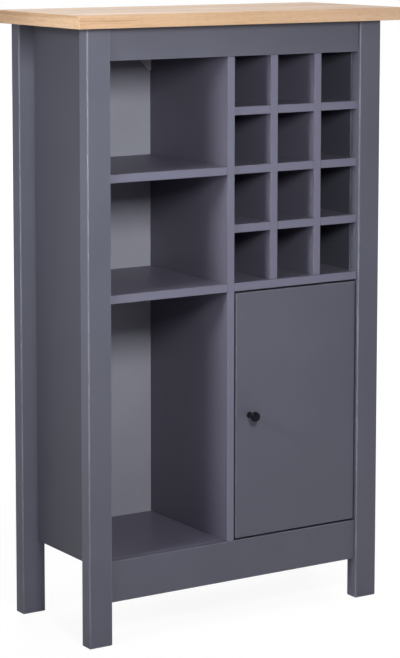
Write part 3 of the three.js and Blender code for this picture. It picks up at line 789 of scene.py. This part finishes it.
class CABINET_OT_back(Operator):
    """Makes the back panel and the countersunk screws that hold it"""

    bl_idname = "cabinet.back"
    bl_label = "Back panel"

    def execute(self, context):
        sizes = context.scene.cabinet_sizes
        low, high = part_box("back_panel")
        mesh = boxed(low, high)
        ease(mesh, mesh.edges[:], sizes.board_ease * 0.4, segments=2)
        radius = sizes.back_screw_radius
        depth = radius * 0.5
        mouth = radius * 1.15
        rise = depth * 0.9
        spots = self.screw_spots(low, high)
        for spot in spots:
            pocket(mesh, spot, Y_AXIS, mouth, depth, floor=0.6, sides=24)
        put(mesh, "back_panel_screwed", "back_board", ["back_panel"])
        for number, spot in enumerate(spots, 1):
            head = screw_mesh(radius * 0.95, rise, radius * 0.5, BACK_SCREW_LENGTH, recess=0.7)
            aimed(head, spot - Y_AXIS * depth, Y_AXIS)
            put(head, f"back_screw_{number:02d}", "zinc_plated")
        return {"FINISHED"}

    def screw_spots(self, low, high):
        """Places on the panel's rear face, over the legs, the divider, the bottom board and the rear rail."""
        rows = [low.z + (high.z - low.z) * share for share in (0.03, 0.21, 0.4, 0.6, 0.79, 0.97)]
        sides = (low.x + BACK_SCREW_INSET, high.x - BACK_SCREW_INSET)
        spots = [Vector((x, high.y, z)) for x in sides for z in rows]
        divider = centre_of("centre_divider").x
        spots += [Vector((divider, high.y, z)) for z in rows[1:-1]]
        for node, shares in (("bottom_board", (0.25, 0.75)), ("top_rail_rear", (0.25, 0.5, 0.75))):
            height = centre_of(node).z
            spots += [Vector((low.x + (high.x - low.x) * share, high.y, height)) for share in shares]
        return spots


class CABINET_OT_worktop(Operator):
    """Makes the oak worktop and the bands on its edges"""

    bl_idname = "cabinet.worktop"
    bl_label = "Worktop"

    def execute(self, context):
        sizes = context.scene.cabinet_sizes
        low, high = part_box("worktop")
        band = sizes.band_thickness
        fine = sizes.worktop_ease * 0.1
        inset = Vector((band, band, 0))
        core = boxed(low + inset, high - inset)
        ease(core, core.edges[:], fine, segments=2)
        put(core, "worktop_board", "worktop_oak", ["worktop"])
        bands = {
            "front": (low, Vector((high.x, low.y + band, high.z))),
            "rear": (Vector((low.x, high.y - band, low.z)), high),
            "left": (Vector((low.x, low.y + band, low.z)), Vector((low.x + band, high.y - band, high.z))),
            "right": (Vector((high.x - band, low.y + band, low.z)), Vector((high.x, high.y - band, high.z))),
        }
        for side, (start, end) in bands.items():
            mesh = boxed(start, end)
            outer = [edge for edge in mesh.edges if self.outside(edge, low, high, side)]
            ease(mesh, outer, sizes.worktop_ease, segments=5)
            grain = "worktop_oak" if side in ("front", "rear") else "worktop_oak_ends"
            put(mesh, f"worktop_band_{side}", grain, ["worktop"])
        return {"FINISHED"}

    def outside(self, edge, low, high, side):
        """Whether an edge of a band lies on the worktop's outer face."""
        middle = (edge.verts[0].co + edge.verts[1].co) / 2
        reach = {
            "front": middle.y - low.y,
            "rear": middle.y - high.y,
            "left": middle.x - low.x,
            "right": middle.x - high.x,
        }[side]
        upright = along([edge], Z_AXIS)
        return abs(reach) < MERGE and not (upright and side in ("left", "right"))


class CABINET_OT_door(Operator):
    """Makes the door, bored for the hinge cups, and its turned knob"""

    bl_idname = "cabinet.door"
    bl_label = "Door and knob"

    def execute(self, context):
        sizes = context.scene.cabinet_sizes
        low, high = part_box("door_panel")
        mesh = boxed(low, high)
        ease(mesh, mesh.edges[:], sizes.rail_ease)
        for level in LEVELS:
            cup_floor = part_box(f"{level}_hinge_cup")[0].y
            pin = centre_of(f"{level}_hinge_pin")
            spot = Vector((pin.x, high.y, pin.z))
            pocket(mesh, spot, Y_AXIS, CUP_BORE_RADIUS, high.y - cup_floor + sizes.lap_gap, sides=48)
        put(mesh, "door_board", "anthracite_lacquer", ["door_panel"], "door")
        self.knob()
        return {"FINISHED"}

    def knob(self):
        """Turned knob on the door's face, from its base out to its head."""
        low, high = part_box("door_knob")
        centre = (low + high) / 2
        length = high.y - low.y
        radius = (high.x - low.x) / 2
        base = radius * 0.65
        neck = radius * 0.54
        profile = [
            (0, 0, 0),
            (base, 0, 0.0003),
            (base, length * 0.07, 0.0008),
            (neck, length * 0.15, 0.0015),
            (neck, length * 0.36, 0.004),
            (radius * 0.92, length * 0.72, 0.0012),
            (radius, length * 0.78, 0.001),
            (radius, length * 0.9, 0.0014),
            (radius * 0.86, length, 0.0016),
            (0, length, 0),
        ]
        mesh = turned(profile, 64)
        aimed(mesh, Vector((centre.x, high.y, centre.z)), -Y_AXIS)
        put(mesh, "door_knob_turned", "black_knob", ["door_knob"], "door")


class CABINET_OT_hinges(Operator):
    """Makes the cups, pins, arms and mounting plates of the two hinges"""

    bl_idname = "cabinet.hinges"
    bl_label = "Hinges"

    def execute(self, context):
        sizes = context.scene.cabinet_sizes
        for level in LEVELS:
            for part, body in (("cup", "door"), ("arm", "cabinet"), ("plate", "cabinet")):
                node = f"{level}_hinge_{part}"
                mesh = solid_copy(node)
                ease(mesh, corners_of(mesh, PRESSED_CORNER), sizes.metal_ease, segments=2)
                put(mesh, f"{node}_pressed", "nickel_plated", [node], body)
            self.pin(level, sizes.metal_ease)
        return {"FINISHED"}

    def pin(self, level, rounding):
        node = f"{level}_hinge_pin"
        low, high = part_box(node)
        radius = (high.x - low.x) / 2
        length = high.z - low.z
        profile = [(0, 0, 0), (radius, 0, rounding), (radius, length, rounding), (0, length, 0)]
        mesh = turned(profile, 24)
        centre = (low + high) / 2
        aimed(mesh, Vector((centre.x, centre.y, low.z)), Z_AXIS)
        put(mesh, f"{node}_turned", "nickel_plated", [node], "door")


class CABINET_OT_bracket(Operator):
    """Makes the zinc-plated corner bracket under the rear rail"""

    bl_idname = "cabinet.bracket"
    bl_label = "Corner bracket"

    def execute(self, context):
        mesh = solid_copy("corner_bracket")
        ease(mesh, corners_of(mesh, PRESSED_CORNER), context.scene.cabinet_sizes.metal_ease, segments=2)
        put(mesh, "corner_bracket_pressed", "zinc_plated", ["corner_bracket"])
        return {"FINISHED"}


class CABINET_OT_screws(Operator):
    """Makes the cross-recess screws of the hinges, of the knob and of the bracket, and finishes the dowels"""

    bl_idname = "cabinet.screws"
    bl_label = "Screws and dowels"

    def execute(self, context):
        for node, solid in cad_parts.items():
            if node.startswith("dowel_"):
                solid.data.materials.clear()
                solid.data.materials.append(finish("beech"))
            elif "screw" in node:
                self.screw(node)
        return {"FINISHED"}

    def screw(self, node):
        """Screw in place of a node, with its head on the side that the cabinet shows."""
        on_door = node.startswith(("cup_", "knob_"))
        if on_door:
            outward = Y_AXIS
        elif node.startswith("bracket_"):
            outward = -Z_AXIS
        else:
            outward = -X_AXIS
        low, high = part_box(node)
        centre = (low + high) / 2
        size = high - low
        span = abs(size.dot(outward))
        radius = (size - Vector([abs(part) for part in outward * span])).length / math.sqrt(2) / 2
        kind = "machine" if "knob" in node or "arm" in node else "wood"
        rise = SCREW_RISE[kind]
        mesh = screw_mesh(radius, rise, SCREW_SHANK[kind], span - rise)
        aimed(mesh, centre + outward * (span / 2 - rise), outward)
        material = "zinc_plated" if node.startswith("bracket_") else "nickel_plated"
        put(mesh, f"{node}_cross", material, [node], "door" if on_door else "cabinet")


def lamp(name, place, target, width, height, watts, beam):
    """Soft lamp that looks at a target and isn't in the picture itself."""
    light = bpy.data.lights.new(name, "AREA")
    light.shape = "RECTANGLE"
    light.size = width
    light.size_y = height
    light.energy = watts
    light.spread = math.radians(beam)
    holder = bpy.data.objects.new(name, light)
    holder.location = place
    holder.visible_camera = False
    holder.rotation_euler = (Vector(target) - Vector(place)).to_track_quat("-Z", "Y").to_euler()
    bpy.context.scene.collection.objects.link(holder)


class CABINET_OT_stage(Operator):
    """Sets the camera, the soft lamps, the pale floor and the white surroundings"""

    bl_idname = "cabinet.stage"
    bl_label = "Stage"

    def execute(self, context):
        scene = context.scene
        scene.view_settings.view_transform = "Standard"
        self.camera(scene)
        self.surroundings(scene)
        self.floor(scene)
        for row in LAMPS:
            lamp(*row)
        return {"FINISHED"}

    def camera(self, scene):
        lens = bpy.data.cameras.new("camera")
        lens.lens = 125.89
        lens.sensor_width = 36
        lens.shift_x = 0.0238
        lens.shift_y = -0.205
        holder = bpy.data.objects.new("camera", lens)
        holder.location = (-2.4476, -3.7908, 1.3782)
        holder.rotation_euler = Euler((math.radians(83.125), 0, math.radians(-32.393)))
        scene.collection.objects.link(holder)
        scene.camera = holder

    def surroundings(self, scene):
        """White behind the cabinet, dimmer reflections in front of it, and a faint violet light all round."""
        world = bpy.data.worlds.new("surroundings")
        scene.world = world
        nodes = Nodes(world)
        camera, mirrored = self.rays(nodes)
        way = nodes.add("ShaderNodeTexCoord", output="Generated")
        behind = nodes.add("ShaderNodeSeparateXYZ", None, {"Vector": way}, output="Y")
        beside = nodes.add("ShaderNodeSeparateXYZ", None, {"Vector": way}, output="X")
        rear = nodes.between(beside + behind, 0.4, 1.3)
        studio = FRONT_REFLECTION + (1 - FRONT_REFLECTION) * rear
        light = nodes.add("ShaderNodeBackground", None, {"Color": FILL_COLOUR, "Strength": FILL_STRENGTH})
        reflected = nodes.add("ShaderNodeBackground", None, {"Color": WHITE, "Strength": studio})
        backdrop = nodes.add("ShaderNodeBackground", None, {"Color": WHITE, "Strength": 1.0})
        lit = nodes.add("ShaderNodeMixShader", None, {0: mirrored, 1: light, 2: reflected})
        shade = nodes.add("ShaderNodeMixShader", None, {0: camera, 1: lit, 2: backdrop})
        nodes.add("ShaderNodeOutputWorld", None, {"Surface": shade})

    def rays(self, nodes):
        """1 for rays of the camera, and 1 for rays of reflections and through glass."""
        node = nodes.add("ShaderNodeLightPath").socket.node
        camera, glossy, glass = (
            Signal(nodes, node.outputs[name])
            for name in ("Is Camera Ray", "Is Glossy Ray", "Is Transmission Ray")
        )
        return camera, nodes.between(glossy + glass, 0, 1)

    def floor(self, scene):
        """Pale floor that keeps the cabinet's shadow and turns white further out."""
        mesh = bmesh.new()
        bmesh.ops.create_grid(mesh, x_segments=1, y_segments=1, size=FLOOR_REACH)
        data = bpy.data.meshes.new("floor")
        mesh.to_mesh(data)
        mesh.free()
        floor = bpy.data.objects.new("floor", data)
        scene.collection.objects.link(floor)
        material = bpy.data.materials.new("pale_floor")
        nodes = Nodes(material)
        camera, mirrored = self.rays(nodes)
        spot = nodes.add("ShaderNodeTexCoord", output="Object")
        distance = nodes.add("ShaderNodeVectorMath", {"operation": "LENGTH"}, {0: spot}, output="Value")
        seen = nodes.between(camera + mirrored * FLOOR_MIRRORED, 0, 1)
        share = seen * (0.8 + 0.2 * nodes.between(distance, 0.7, 2.4))
        matt = nodes.add("ShaderNodeBsdfDiffuse", None, {"Color": FLOOR_GREY})
        glow = nodes.add("ShaderNodeEmission", None, {"Color": WHITE, "Strength": FLOOR_GLOW})
        shade = nodes.add("ShaderNodeMixShader", None, {0: share, 1: matt, 2: glow})
        nodes.add("ShaderNodeOutputMaterial", None, {"Surface": shade})
        data.materials.append(material)


class CABINET_PT_panel(Panel):
    """Sizes, colours and building steps of the cabinet"""

    bl_idname = "CABINET_PT_panel"
    bl_label = "Wine Cabinet"
    bl_space_type = "VIEW_3D"
    bl_region_type = "UI"
    bl_category = "Cabinet"

    def draw(self, context):
        layout = self.layout
        for group in (context.scene.cabinet_sizes, context.scene.cabinet_finishes):
            box = layout.box()
            for name in group.__annotations__:
                box.prop(group, name)
        column = layout.column(align=True)
        for operator in OPERATORS:
            column.operator(operator.bl_idname)


OPERATORS = (
    CABINET_OT_legs,
    CABINET_OT_carcass,
    CABINET_OT_rack,
    CABINET_OT_back,
    CABINET_OT_worktop,
    CABINET_OT_door,
    CABINET_OT_hinges,
    CABINET_OT_bracket,
    CABINET_OT_screws,
    CABINET_OT_stage,
)
CLASSES = (CabinetSizes, CabinetFinishes, *OPERATORS, CABINET_PT_panel)


def register():
    for each in CLASSES:
        bpy.utils.register_class(each)
    bpy.types.Scene.cabinet_sizes = PointerProperty(type=CabinetSizes)
    bpy.types.Scene.cabinet_finishes = PointerProperty(type=CabinetFinishes)


def unregister():
    del bpy.types.Scene.cabinet_finishes
    del bpy.types.Scene.cabinet_sizes
    for each in reversed(CLASSES):
        bpy.utils.unregister_class(each)


def main():
    register()
    bpy.ops.cabinet.legs()
    bpy.ops.cabinet.carcass()
    bpy.ops.cabinet.rack()
    bpy.ops.cabinet.back()
    bpy.ops.cabinet.worktop()
    bpy.ops.cabinet.door()
    bpy.ops.cabinet.hinges()
    bpy.ops.cabinet.bracket()
    bpy.ops.cabinet.screws()
    bpy.ops.cabinet.stage()


if __name__ == "__main__":
    main()
